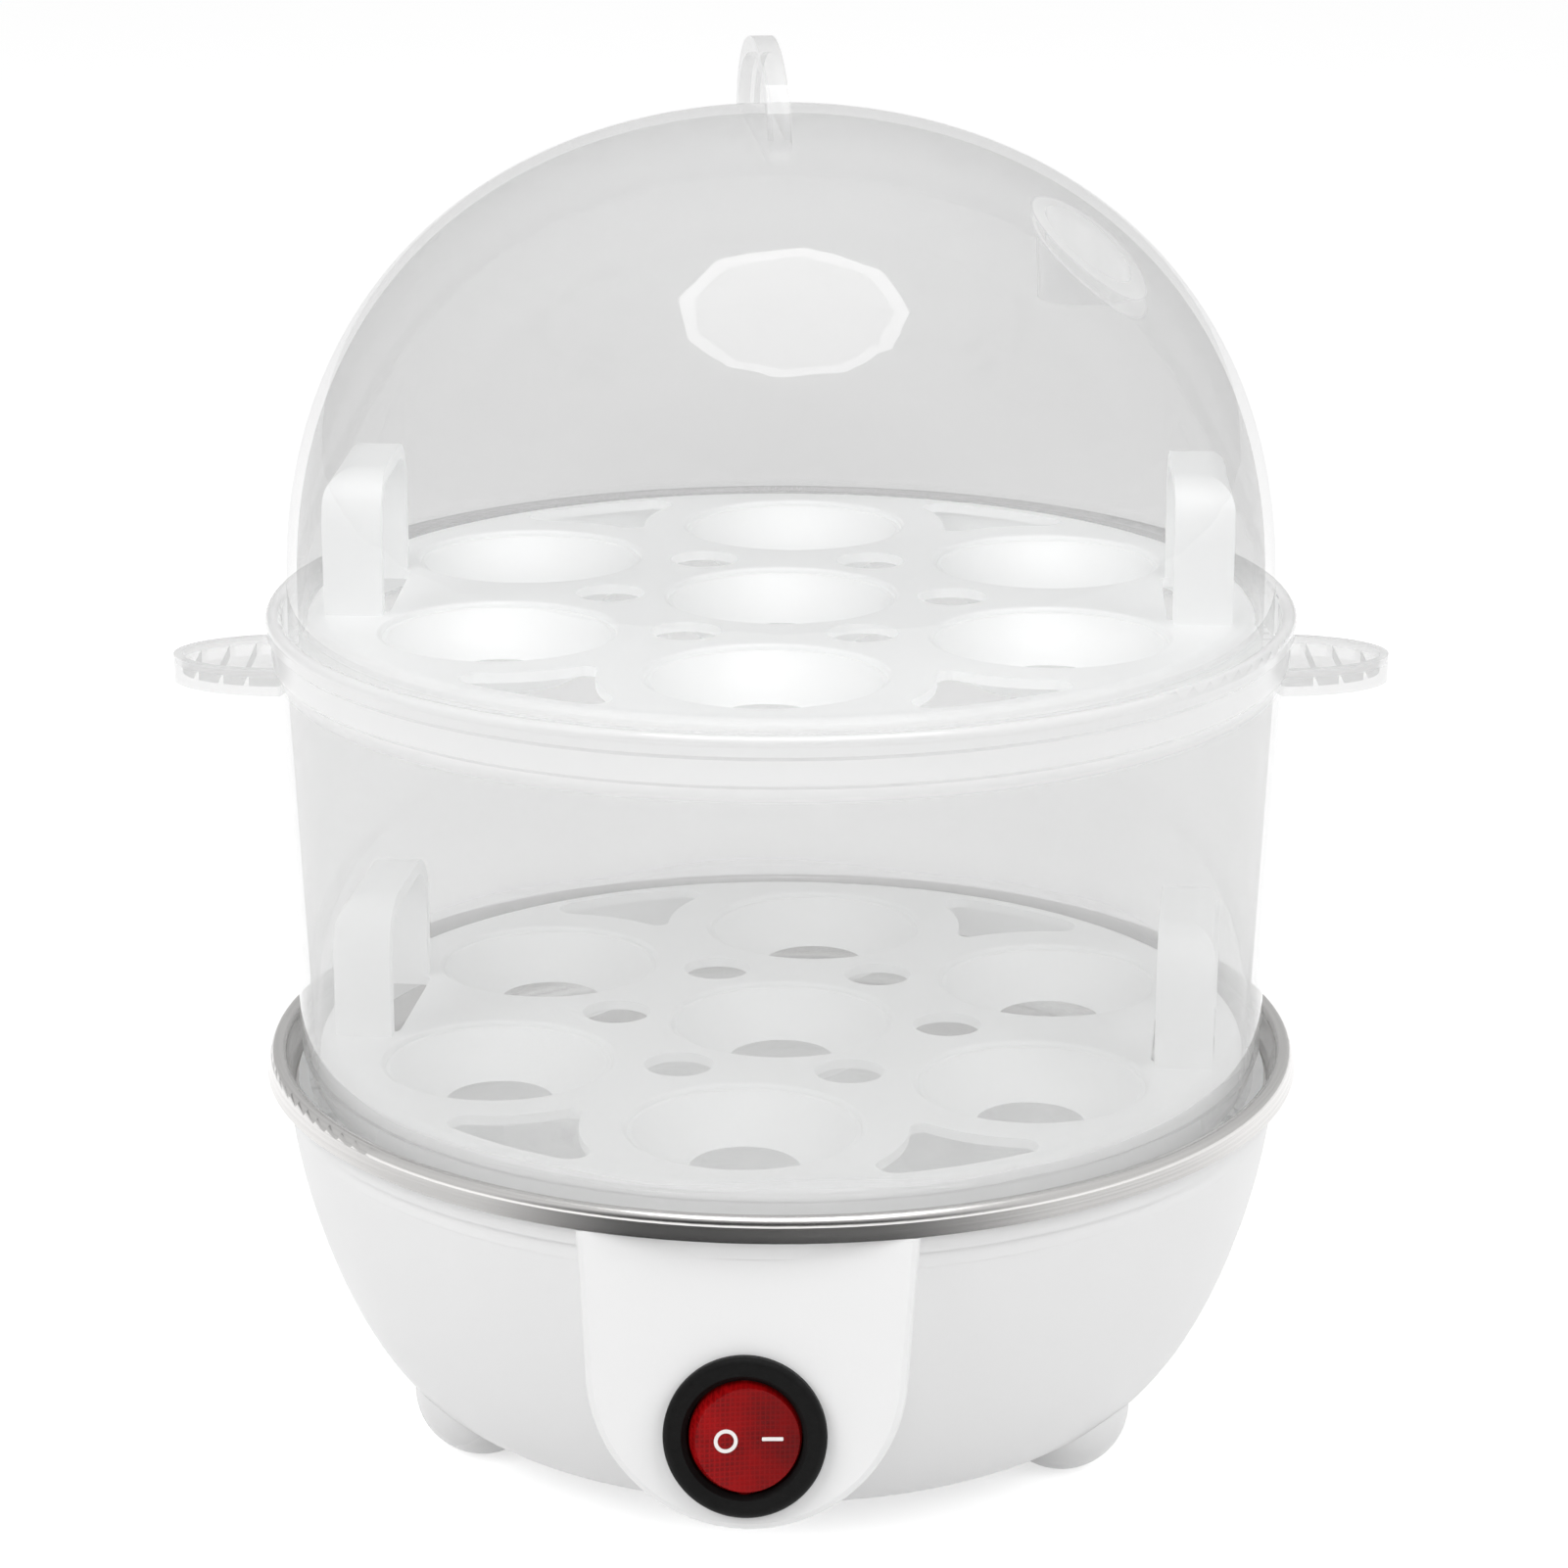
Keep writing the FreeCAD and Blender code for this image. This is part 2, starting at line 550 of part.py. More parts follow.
def heating_plate():
    """Pressed dish with a ledge for the lower tray and a rim rolled over the bowl's edge."""
    ledge_inner = DISH_WALL_RADIUS
    top = BOWL_TOP + RIM_HEIGHT
    shoulder = RIM_SHOULDER_LEVEL
    outer = RIM_RADIUS - RIM_TUCK
    crown = (DISH_MOUTH_RADIUS + outer) / 2
    round_in = DISH_FLOOR_ROUND
    bend = round_in * (1 - math.sqrt(0.5))

    def floor_corner(out):
        return (ledge_inner + out - bend, DISH_FLOOR + bend - out)

    return turned(
        (0, DISH_FLOOR), (DISH_FLOOR_RADIUS, DISH_FLOOR),
        (floor_corner(0), (ledge_inner, DISH_FLOOR + round_in)), (ledge_inner, DISH_LEDGE),
        (DISH_LEDGE_RADIUS, DISH_LEDGE), (DISH_MOUTH_RADIUS, shoulder), ((crown, top), (outer, shoulder)),
        (RIM_RADIUS, BOWL_TOP), (RIM_RADIUS - STEEL, BOWL_TOP), (outer - STEEL, shoulder),
        ((crown, top - STEEL), (DISH_MOUTH_RADIUS + STEEL, shoulder)),
        (DISH_LEDGE_RADIUS + STEEL, LEDGE_UNDER), (ledge_inner + STEEL, LEDGE_UNDER),
        (ledge_inner + STEEL, DISH_FLOOR + round_in),
        (floor_corner(STEEL), (DISH_FLOOR_RADIUS, DISH_UNDER)), (0, DISH_UNDER))


# Base bowl

def panel_point(across, down, out=0.0):
    """Point on the switch panel: across the face, down it, and out from it."""
    tilt = math.radians(PANEL_TILT)
    return V(across,
             -PANEL_FRONT - down * math.sin(tilt) - out * math.cos(tilt),
             BOWL_TOP - down * math.cos(tilt) + out * math.sin(tilt))


PANEL_NORMAL = panel_point(0, 0, 1) - panel_point(0, 0, 0)
PANEL_DOWN = panel_point(0, 1) - panel_point(0, 0)


def panel_wire(inset, sunk):
    """Outline of the switch panel, drawn in by an inset and sunk below its face."""
    top = panel_point(PANEL_TOP_WIDTH / 2 - inset, 0, -sunk)
    waist = panel_point(PANEL_WAIST_WIDTH / 2 - inset, PANEL_WAIST, -sunk)
    chin = panel_point(0, PANEL_LENGTH - inset, -sunk)
    mirror = FreeCAD.Matrix(-1, 0, 0, 0, 0, 1, 0, 0, 0, 0, 1, 0)
    across = V(waist.x * CIRCLE_PULL, 0, 0)
    down = (chin - V(0, waist.y, waist.z)) * CIRCLE_PULL
    right = [waist, waist + down, chin + across, chin]
    left = [mirror.multVec(pole) for pole in reversed(right)]
    far = mirror.multVec(top)

    def curve(poles):
        bend = Part.BezierCurve()
        bend.setPoles(poles)
        return bend.toShape()

    return Part.Wire([
        Part.LineSegment(top, waist).toShape(), curve(right), curve(left),
        Part.LineSegment(left[-1], far).toShape(), Part.LineSegment(far, top).toShape()])


def panel_block(inset, sunk):
    """Tongue of the switch panel, run straight back from its face."""
    return Part.Face(panel_wire(inset, sunk)).extrude(V(0, PANEL_FRONT - POST_RING_RADIUS, 0))


def panel_edge():
    """Softened edge of the switch panel."""
    bend = PANEL_ROUND * (1 - math.sqrt(0.5))
    wires = [panel_wire(PANEL_ROUND, 0), panel_wire(bend, bend), panel_wire(0, PANEL_ROUND)]
    return Part.makeLoft(wires, True, True)


def bowl_body(wall):
    """Solid within the bowl's outer face, or within its inner face when given the wall."""
    floor = BOWL_LIFT_HEIGHT + wall
    radius = BOWL_RADIUS - wall
    return turned(
        (0, floor), (BOWL_FLOOR_RADIUS, floor),
        ((BOWL_FLOOR_RADIUS + BOWL_TURN_OUT - wall / 2, floor + BOWL_TURN_RISE),
         (radius, LEDGE_UNDER - BOWL_BELLY), (radius, LEDGE_UNDER)),
        (0, LEDGE_UNDER))


def dish_room():
    """Space kept for the dish inside the bowl's edge."""
    top = BOWL_TOP + TONGUE_HEIGHT
    return turned((0, LEDGE_UNDER), (dish_back(LEDGE_UNDER) + SEAT_GAP, LEDGE_UNDER),
                  (dish_back(top) + SEAT_GAP, top), (0, top))


def bowl_lip():
    """Band under the rim, and the edge that the rim is rolled over."""
    seat = LEDGE_UNDER - SEAT_DEPTH
    inner = BOWL_RADIUS - BOWL_WALL
    band = BAND_RADIUS
    tongue = RIM_RADIUS - RIM_TUCK - STEEL - SEAT_GAP
    top = BOWL_TOP + TONGUE_HEIGHT
    foot = BOWL_TOP - BAND_HEIGHT
    return turned((inner, seat), (BOWL_RADIUS, seat), (BOWL_RADIUS, foot), (band, foot), (band, BOWL_TOP),
                  (tongue, BOWL_TOP), (tongue, top), (inner, top)).cut(dish_room())


def inlet_pad():
    """Sleeve through the back wall with a flat face for the cord bush."""
    return rod(PAD_RADIUS, PAD_DEPTH, V(0, inlet_face() - PAD_DEPTH, BUSH_HEIGHT), V(0, 1, 0))


def inlet_face():
    """Distance from the axis to the flat pad round the cord inlet."""
    line = Part.LineSegment(V(0, 0, BUSH_HEIGHT), V(0, RIM_RADIUS, BUSH_HEIGHT)).toShape()
    return line.common(bowl_body(0)).BoundBox.YMax + PAD_PROUD


def bowl_holes():
    """Holes for screws, foot stems, the switch and the cord bush."""
    holes = [rod(COVER_RADIUS + COVER_GAP, COVER_THICKNESS, V(0, 0, BOWL_LIFT_HEIGHT))]
    for turn in POST_ANGLES:
        at = polar(POST_RING_RADIUS, turn, BOWL_LIFT_HEIGHT)
        holes.append(rod(SCREW_RADIUS + SCREW_GAP, POST_TOP, at))
        holes.append(rod(HEAD_RADIUS + SCREW_GAP, HEAD_RECESS, at))
    for turn in COVER_SCREW_ANGLES:
        at = polar(COVER_SCREW_RING_RADIUS, turn, BOWL_LIFT_HEIGHT)
        holes.append(rod(SCREW_RADIUS, COVER_THICKNESS + COVER_SCREW_LENGTH, at))
    for turn in FOOT_ANGLES.values():
        holes.append(rod(FOOT_STEM_RADIUS + STEM_GAP, BOWL_TOP / 2, polar(FOOT_RING_RADIUS, turn)))
    depth = PANEL_WALL + BARREL_DEPTH
    holes.append(rod(BARREL_RADIUS + BARREL_FIT, depth, panel_point(0, SWITCH_DROP), -PANEL_NORMAL))
    holes.append(rod(BUSH_RADIUS + BUSH_GAP, BOWL_RADIUS, V(0, FOOT_RING_RADIUS, BUSH_HEIGHT), V(0, 1, 0)))
    return holes


def base_housing():
    """Bowl with its switch panel, posts for the dish and the seat of the bottom cover."""
    panel = joined([panel_block(0, PANEL_ROUND), panel_edge()]).cut(dish_room())
    hollow = panel_block(PANEL_WALL, PANEL_WALL)
    hollow = hollow.cut(rod(RIM_RADIUS, BOWL_TOP, V(0, 0, LEDGE_UNDER - SEAT_DEPTH)))
    opening = rod(COVER_RADIUS - COVER_SEAT, BOWL_WALL, V(0, 0, BOWL_LIFT_HEIGHT))
    body = joined([bowl_body(0), panel, inlet_pad()])
    body = body.cut([bowl_body(BOWL_WALL).cut(inlet_pad()), hollow, opening])
    tall = POST_TOP - BOWL_LIFT_HEIGHT
    posts = [rod(POST_RADIUS, tall, polar(POST_RING_RADIUS, turn, BOWL_LIFT_HEIGHT)) for turn in POST_ANGLES]
    arms = [cover_arm(turn) for turn in COVER_SCREW_ANGLES]
    return joined([body, bowl_lip()] + posts + arms).cut(bowl_holes())


def cover_arm(turn):
    """Arm of the bowl's floor with a boss for a cover screw."""
    inner = COVER_SCREW_RING_RADIUS
    wide = 2 * COVER_BOSS_RADIUS
    arm = Part.makeBox(COVER_RADIUS - inner, wide, BOWL_WALL, V(inner, -COVER_BOSS_RADIUS, BOWL_LIFT_HEIGHT))
    boss = rod(COVER_BOSS_RADIUS, BOWL_WALL + COVER_BOSS_HEIGHT, V(inner, 0, BOWL_LIFT_HEIGHT))
    return turned_about_axis(joined([arm, boss]), turn)


# Smaller pieces of the base

def foot(turn):
    """Ball foot, seated against the bowl, with a stem through its floor."""
    at = polar(FOOT_RING_RADIUS, turn)
    middle = at + V(0, 0, FOOT_RADIUS - FOOT_FLAT)
    below = rod(FOOT_RADIUS, FOOT_RADIUS, at - V(0, 0, FOOT_RADIUS))
    ball = Part.makeSphere(FOOT_RADIUS, middle).cut([bowl_body(0), below])
    stem = rod(FOOT_STEM_RADIUS, FOOT_STEM, at + V(0, 0, BOWL_LIFT_HEIGHT - BOWL_WALL))
    return joined([ball, stem])


def bottom_cover():
    plate = rod(COVER_RADIUS, COVER_THICKNESS, V(0, 0, BOWL_LIFT_HEIGHT))
    holes = []
    for i in range(COVER_SLOTS):
        slot = rounded_bar(COVER_SLOT_LENGTH, COVER_SLOT_WIDTH, COVER_THICKNESS, COVER_SLOT_WIDTH * 0.49)
        slot.translate(V(0, COVER_SLOT_PITCH * (i - (COVER_SLOTS - 1) / 2), BOWL_LIFT_HEIGHT))
        holes.append(slot)
    for turn in COVER_SCREW_ANGLES:
        at = polar(COVER_SCREW_RING_RADIUS, turn, BOWL_LIFT_HEIGHT)
        holes.append(rod(SCREW_RADIUS + SCREW_GAP, COVER_THICKNESS, at))
    return plate.cut(holes)


def screw(at, length):
    """Pan-head screw pointing up from the underside of its head."""
    crown = HEAD_HEIGHT / 3
    head = Part.makeCone(HEAD_RADIUS - crown, HEAD_RADIUS, crown, at - V(0, 0, HEAD_HEIGHT))
    rim = rod(HEAD_RADIUS, HEAD_HEIGHT - crown, at - V(0, 0, HEAD_HEIGHT - crown))
    slot = Part.makeBox(HEAD_RADIUS, crown, crown, at - V(HEAD_RADIUS / 2, crown / 2, HEAD_HEIGHT))
    return joined([head, rim, rod(SCREW_RADIUS, length, at)]).cut(slot)


def cover_screws():
    places = [polar(COVER_SCREW_RING_RADIUS, turn, BOWL_LIFT_HEIGHT) for turn in COVER_SCREW_ANGLES]
    return [screw(at, COVER_SCREW_LENGTH) for at in places]


def plate_screws():
    seat = BOWL_LIFT_HEIGHT + HEAD_RECESS
    return [screw(polar(POST_RING_RADIUS, turn, seat), POST_TOP + SCREW_BITE - seat) for turn in POST_ANGLES]


def plate_spacers():
    """Threaded spacers under the dish, standing on the bowl's posts."""
    spacers = []
    for turn in POST_ANGLES:
        body = rod(SPACER_RADIUS, DISH_UNDER - POST_TOP, polar(POST_RING_RADIUS, turn, POST_TOP))
        spacers.append(body.cut(rod(SCREW_RADIUS, SCREW_BITE, polar(POST_RING_RADIUS, turn, POST_TOP))))
    return spacers


def heating_element():
    """Open ring of heater tube, flattened where it lies against the dish, with a pin at each end."""
    sweep = 360 - ELEMENT_OPEN
    z = DISH_UNDER - ELEMENT_RADIUS + ELEMENT_FLAT
    ring = Part.makeTorus(ELEMENT_RING_RADIUS, ELEMENT_RADIUS, V(0, 0, z), AXIS, 0, 360, sweep)
    ring = turned_about_axis(ring, 90 + ELEMENT_OPEN / 2)
    ring = ring.cut(rod(2 * ELEMENT_RING_RADIUS, ELEMENT_RADIUS, V(0, 0, DISH_UNDER)))
    inset = math.degrees(ELEMENT_RADIUS / ELEMENT_RING_RADIUS)
    pins = []
    for side in (-1, 1):
        turn = 90 + side * (ELEMENT_OPEN / 2 + inset)
        pins.append(rod(PIN_RADIUS, PIN_LENGTH, polar(ELEMENT_RING_RADIUS, turn, z - PIN_LENGTH)))
    return joined([ring] + pins)


def thermostat():
    """Disc thermostat against the middle of the dish, with two blades below."""
    can = rod(THERMOSTAT_RADIUS, THERMOSTAT_HEIGHT, V(0, 0, DISH_UNDER - THERMOSTAT_HEIGHT))
    lip = THERMOSTAT_RADIUS + THERMOSTAT_FLANGE
    flange = rod(lip, THERMOSTAT_FLANGE, V(0, 0, DISH_UNDER - THERMOSTAT_FLANGE))
    blades = []
    for side in (-1, 1):
        at = V(-TERMINAL_WIDTH / 2, side * THERMOSTAT_RADIUS / 2 - TERMINAL_THICKNESS / 2,
               DISH_UNDER - THERMOSTAT_HEIGHT - TERMINAL_LENGTH)
        blades.append(Part.makeBox(TERMINAL_WIDTH, TERMINAL_THICKNESS, TERMINAL_LENGTH, at))
    return joined([can, flange] + blades)


def thermostat_bracket():
    """Plate with two raised feet that holds the thermostat's flange up against the dish."""
    under = DISH_UNDER - THERMOSTAT_FLANGE
    low = under - STRAP_THICKNESS
    side = -STRAP_WIDTH / 2
    bars = [Part.makeBox(2 * STRAP_REACH, STRAP_WIDTH, STRAP_THICKNESS, V(-STRAP_REACH, side, low))]
    for start in (-STRAP_REACH, STRAP_REACH - STRAP_FOOT):
        bars.append(Part.makeBox(STRAP_FOOT, STRAP_WIDTH, DISH_UNDER - low, V(start, side, low)))
    can = rod(THERMOSTAT_RADIUS + SCREW_GAP, THERMOSTAT_HEIGHT, V(0, 0, under - THERMOSTAT_HEIGHT))
    return joined(bars).cut(can)


def thermal_fuse():
    """Sleeved one-shot fuse lying against the dish."""
    along = V(1, 0, 0)
    middle = V(0, -FUSE_PLACE, DISH_UNDER - FUSE_RADIUS)
    body = rod(FUSE_RADIUS, FUSE_LENGTH, middle - along * (FUSE_LENGTH / 2), along)
    tails = rod(PIN_RADIUS / 2, 2 * FUSE_LENGTH, middle - along * FUSE_LENGTH, along)
    return joined([body, tails])


def cord_bush():
    """Bush in the inlet sleeve, with its flange on the flat pad."""
    out = V(0, 1, 0)
    face = V(0, inlet_face(), BUSH_HEIGHT)
    tube = rod(BUSH_RADIUS, PAD_DEPTH, face - out * PAD_DEPTH, out)
    flange = rod(BUSH_FLANGE_RADIUS, BUSH_FLANGE, face, out)
    bore = rod(BUSH_BORE, PAD_DEPTH + BUSH_FLANGE, face - out * PAD_DEPTH, out)
    return joined([tube, flange]).cut(bore)


# Rocker switch

def bezel():
    """Rounded ring on the panel's face with a slope round the rocker's window."""
    window = ROCKER_RADIUS + ROCKER_GAP
    bend = BEZEL_ROUND * (1 - math.sqrt(0.5))
    shoulder = BEZEL_HEIGHT - BEZEL_ROUND
    ring = turned(
        (window, 0), (BEZEL_RADIUS, 0), (BEZEL_RADIUS, shoulder),
        ((BEZEL_RADIUS - bend, BEZEL_HEIGHT - bend), (BEZEL_RADIUS - BEZEL_ROUND, BEZEL_HEIGHT)),
        (window + BEZEL_BEVEL, BEZEL_HEIGHT), (window, BEZEL_HEIGHT - BEZEL_BEVEL))
    ring.Placement = FreeCAD.Placement(panel_point(0, SWITCH_DROP), FreeCAD.Rotation(AXIS, PANEL_NORMAL))
    return ring


def switch_housing():
    """Black barrel and bezel with a round window for the rocker."""
    depth = PANEL_WALL + BARREL_DEPTH
    barrel = rod(BARREL_RADIUS, depth, panel_point(0, SWITCH_DROP), -PANEL_NORMAL)
    window = ROCKER_RADIUS + ROCKER_GAP
    pivot = panel_point(0, SWITCH_DROP, -PIVOT_DEPTH)
    room = rod(window, PIVOT_DEPTH + window, panel_point(0, SWITCH_DROP), -PANEL_NORMAL)
    reach = PIVOT_REACH + PIVOT_GAP
    sockets = rod(PIVOT_RADIUS + PIVOT_GAP, 2 * reach, pivot - PANEL_DOWN * reach, PANEL_DOWN)
    return joined([bezel(), barrel.cut(room)]).cut(sockets)


def rocker_button():
    """Round rocker on two trunnions, at rest with its right side pressed in."""
    pivot = panel_point(0, SWITCH_DROP, -PIVOT_DEPTH)
    ball = Part.makeSphere(ROCKER_RADIUS, pivot)
    slab = rod(ROCKER_RADIUS, ROCKER_FACE + ROCKER_BACK, pivot - PANEL_NORMAL * ROCKER_BACK, PANEL_NORMAL)
    above = pivot + PANEL_NORMAL * (ROCKER_FACE + ROCKER_DISH - ROCKER_GAP)
    hollow = rod(ROCKER_DISH, 2 * ROCKER_RADIUS, above - PANEL_DOWN * ROCKER_RADIUS, PANEL_DOWN)
    pins = rod(PIVOT_RADIUS, 2 * PIVOT_REACH, pivot - PANEL_DOWN * PIVOT_REACH, PANEL_DOWN)
    button = joined([ball.common(slab).cut(hollow), pins])
    button.rotate(pivot, PANEL_DOWN, -ROCKER_TILT)
    return button


def switch_terminals():
    """Three blades behind the switch."""
    back = panel_point(0, SWITCH_DROP, -PANEL_WALL - BARREL_DEPTH)
    turn = FreeCAD.Rotation(AXIS, -PANEL_NORMAL)
    blades = []
    for i in (-1, 0, 1):
        blade = rounded_bar(TERMINAL_WIDTH, TERMINAL_THICKNESS, TERMINAL_LENGTH, TERMINAL_THICKNESS / 4)
        blade.Placement = FreeCAD.Placement(back + PANEL_DOWN * (TERMINAL_PITCH * i), turn)
        blades.append(blade)
    return blades


def raised(shape, height, turn):
    return shifted(turned_about_axis(shape, turn), V(0, 0, height))


def cooker():
    """Every node by name."""
    tray = egg_tray()
    nodes = {
        "lid": lid(),
        "upper_egg_tray": raised(tray, TIER_LEDGE, UPPER_TRAY_TURN),
        "steamer_tier": steamer_tier(),
        "lower_egg_tray": raised(tray, DISH_LEDGE, LOWER_TRAY_TURN),
        "heating_plate": heating_plate(),
        "base_housing": base_housing(),
        "bottom_cover": bottom_cover(),
        "cover_screws": Part.makeCompound(cover_screws()),
        "plate_screws": Part.makeCompound(plate_screws()),
        "plate_spacers": Part.makeCompound(plate_spacers()),
        "heating_element": heating_element(),
        "thermostat": thermostat(),
        "thermostat_bracket": thermostat_bracket(),
        "thermal_fuse": thermal_fuse(),
        "cord_bush": cord_bush(),
        "switch_housing": switch_housing(),
        "rocker_button": rocker_button(),
        "switch_terminals": Part.makeCompound(switch_terminals()),
    }
    for name, turn in FOOT_ANGLES.items():
        nodes[name] = foot(turn)
    return nodes


def main():
    os.makedirs("parts", exist_ok=True)
    nodes = cooker()
    boxes = [shape.optimalBoundingBox(False, False) for shape in nodes.values()]
    middle = (min(box.YMin for box in boxes) + max(box.YMax for box in boxes)) / 2
    for name, shape in nodes.items():
        shape.translate(V(0, -middle, 0))
        shape.exportStep("parts/" + name + ".step")


main()
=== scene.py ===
"""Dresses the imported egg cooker: camera, studio, finishes and the marks on the rocker."""
import json
import math

import bmesh
import bpy
from mathutils import Matrix, Vector


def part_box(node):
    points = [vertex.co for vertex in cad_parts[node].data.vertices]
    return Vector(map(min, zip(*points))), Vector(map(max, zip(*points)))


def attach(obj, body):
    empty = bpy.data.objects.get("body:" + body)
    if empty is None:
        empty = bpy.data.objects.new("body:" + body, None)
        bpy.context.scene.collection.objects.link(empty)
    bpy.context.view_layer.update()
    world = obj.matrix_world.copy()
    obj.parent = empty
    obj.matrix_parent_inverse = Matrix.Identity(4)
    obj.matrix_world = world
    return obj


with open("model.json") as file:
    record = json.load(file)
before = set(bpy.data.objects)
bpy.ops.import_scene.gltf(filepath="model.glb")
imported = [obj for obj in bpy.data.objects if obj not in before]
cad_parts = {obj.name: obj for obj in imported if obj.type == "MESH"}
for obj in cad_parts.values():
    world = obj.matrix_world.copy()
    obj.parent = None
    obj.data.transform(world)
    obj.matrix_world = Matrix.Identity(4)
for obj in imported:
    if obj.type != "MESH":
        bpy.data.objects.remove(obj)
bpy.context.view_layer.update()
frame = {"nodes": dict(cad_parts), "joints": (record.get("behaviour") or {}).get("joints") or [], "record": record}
NODES = frame["nodes"]
SCENE = bpy.context.scene

# Where the round base's axis stands, and how the camera is turned and tipped
AXIS_Y = (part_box("heating_plate")[0].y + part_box("heating_plate")[1].y) / 2
TURN = math.radians(3.5)
PITCH = math.radians(16.55)

# Sizes on the part that its finishes follow
FIN_HEIGHT = 0.0104
VENT_RADIUS = 0.0081
DISH_RADIUS = 0.068

# Whiteness of thick clear plastic, and the share of a lamp's light that passes each of its faces
THICK_WHITE = 0.96
LIT_THROUGH = 0.985


class Value:
    """A socket that takes part in shader arithmetic."""

    def __init__(self, finish, socket):
        self.finish = finish
        self.socket = socket

    def _math(self, operation, first, second):
        return self.finish.node("ShaderNodeMath", {"operation": operation}, {0: first, 1: second})

    def __add__(self, other):
        return self._math("ADD", self, other)

    def __radd__(self, other):
        return self._math("ADD", other, self)

    def __sub__(self, other):
        return self._math("SUBTRACT", self, other)

    def __rsub__(self, other):
        return self._math("SUBTRACT", other, self)

    def __mul__(self, other):
        return self._math("MULTIPLY", self, other)

    def __rmul__(self, other):
        return self._math("MULTIPLY", other, self)

    def __truediv__(self, other):
        return self._math("DIVIDE", self, other)

    def __rtruediv__(self, other):
        return self._math("DIVIDE", other, self)

    def __pow__(self, other):
        return self._math("POWER", self, other)

    def out(self, name):
        return Value(self.finish, self.socket.node.outputs[name])


class Finish:
    """One material, or the surround, and the nodes in it."""

    def __init__(self, name, surround=False):
        self.material = bpy.data.worlds.new(name) if surround else bpy.data.materials.new(name)
        self.material.use_nodes = True
        self.tree = self.material.node_tree
        self.tree.nodes.clear()
        self.end = self.tree.nodes.new("ShaderNodeOutputWorld" if surround else "ShaderNodeOutputMaterial")

    def node(self, kind, settings=None, sockets=None, out=0):
        made = self.tree.nodes.new(kind)
        for key, setting in (settings or {}).items():
            setattr(made, key, setting)
        for key, value in (sockets or {}).items():
            if isinstance(value, Value):
                self.tree.links.new(value.socket, made.inputs[key])
            else:
                made.inputs[key].default_value = value
        return Value(self, made.outputs[out])

    def place(self):
        return self.node("ShaderNodeTexCoord").out("Object")

    def spot(self):
        """How far across, ahead and up a point lies."""
        across = self.node("ShaderNodeSeparateXYZ", {}, {0: self.place()})
        return across, across.out("Y"), across.out("Z")

    def noise(self, scale, detail=3.0, roughness=0.5, vector=None):
        return self.node("ShaderNodeTexNoise", {}, {"Vector": vector or self.place(), "Scale": scale,
                                                    "Detail": detail, "Roughness": roughness})

    def fade(self, value, low, high, start=0.0, end=1.0):
        return self.node("ShaderNodeMapRange", {"clamp": True}, {
            "Value": value, "From Min": low, "From Max": high, "To Min": start, "To Max": end})

    def blend(self, factor, first, second):
        return self.node("ShaderNodeMix", {"data_type": "RGBA"}, {0: factor, 6: first, 7: second}, 2)

    def either(self, first, second):
        return self.node("ShaderNodeMath", {"operation": "MAXIMUM"}, {0: first, 1: second})

    def mix(self, factor, first, second):
        return self.node("ShaderNodeMixShader", {}, {0: factor, 1: first, 2: second})

    def pane(self, level):
        return self.node("ShaderNodeBsdfTransparent", {}, {"Color": grey(level)})

    def bump(self, height, distance, strength):
        return self.node("ShaderNodeBump", {}, {
            "Height": height, "Distance": distance, "Strength": strength})

    def surface(self, sockets):
        return self.node("ShaderNodeBsdfPrincipled", {}, sockets)

    def close(self, shader):
        self.tree.links.new(shader.socket, self.end.inputs["Surface"])
        return self.material


def grey(level):
    return (level, level, level, 1)


def about_axis(finish):
    """Distance from the cooker's axis, height, and angle about the axis."""
    across, ahead, height = finish.spot()
    ahead = ahead - AXIS_Y
    radius = (across * across + ahead * ahead) ** 0.5
    angle = finish.node("ShaderNodeMath", {"operation": "ARCTAN2"}, {0: ahead, 1: across})
    return radius, height, angle


def clear_plastic(name, near_level, far_level, edge_level, veil, edge_veil, edge_shine, tone, rough, heavy):
    """Thin see-through moulding: a grey pane with a white haze, denser at a slant and where it is heavy."""
    finish = Finish(name)
    cloud = finish.noise(22.0, 2.0, 0.5)
    normal = finish.bump(finish.noise(9.0, 1.0, 0.4), 0.0006, 0.12)
    facing = finish.node("ShaderNodeLayerWeight", {}, {"Blend": 0.5, "Normal": normal}).out("Facing")
    slant = facing ** 3.0
    inner = finish.node("ShaderNodeNewGeometry").out("Backfacing")
    mirror = finish.node("ShaderNodeFresnel", {}, {"IOR": 1.45, "Normal": normal}) * (1.0 - inner)
    shine = finish.fade(mirror * 0.9, 0.0, edge_shine, 0.0, edge_shine)
    path = finish.node("ShaderNodeLightPath")
    far_wall = finish.fade(path.out("Transparent Depth"), 1.0, 2.0)
    lighting = finish.either(path.out("Is Shadow Ray"), path.out("Is Diffuse Ray"))
    thick = heavy(finish)
    haze = finish.fade(cloud, 0.35, 0.65, veil * 0.92, veil * 1.08) + slant * edge_veil + thick
    colour = finish.blend(finish.fade(thick, 0.0, 0.4), grey(tone), grey(THICK_WHITE))
    skin = finish.surface({"Base Color": colour, "Roughness": rough, "Normal": normal})
    glow = finish.node("ShaderNodeBsdfTranslucent", {}, {"Color": grey(tone)})
    gloss = finish.node("ShaderNodeBsdfGlossy", {}, {
        "Color": grey(0.95), "Roughness": rough * 0.15, "Normal": normal})
    wall = finish.mix(far_wall, finish.pane(near_level), finish.pane(far_level))
    see_through = finish.mix(slant, wall, finish.pane(edge_level))
    cloudy = finish.mix(haze, see_through, finish.mix(0.4, skin, glow))
    seen = finish.mix(shine, cloudy, gloss)
    return finish.close(finish.mix(lighting, seen, finish.pane(LIT_THROUGH)))


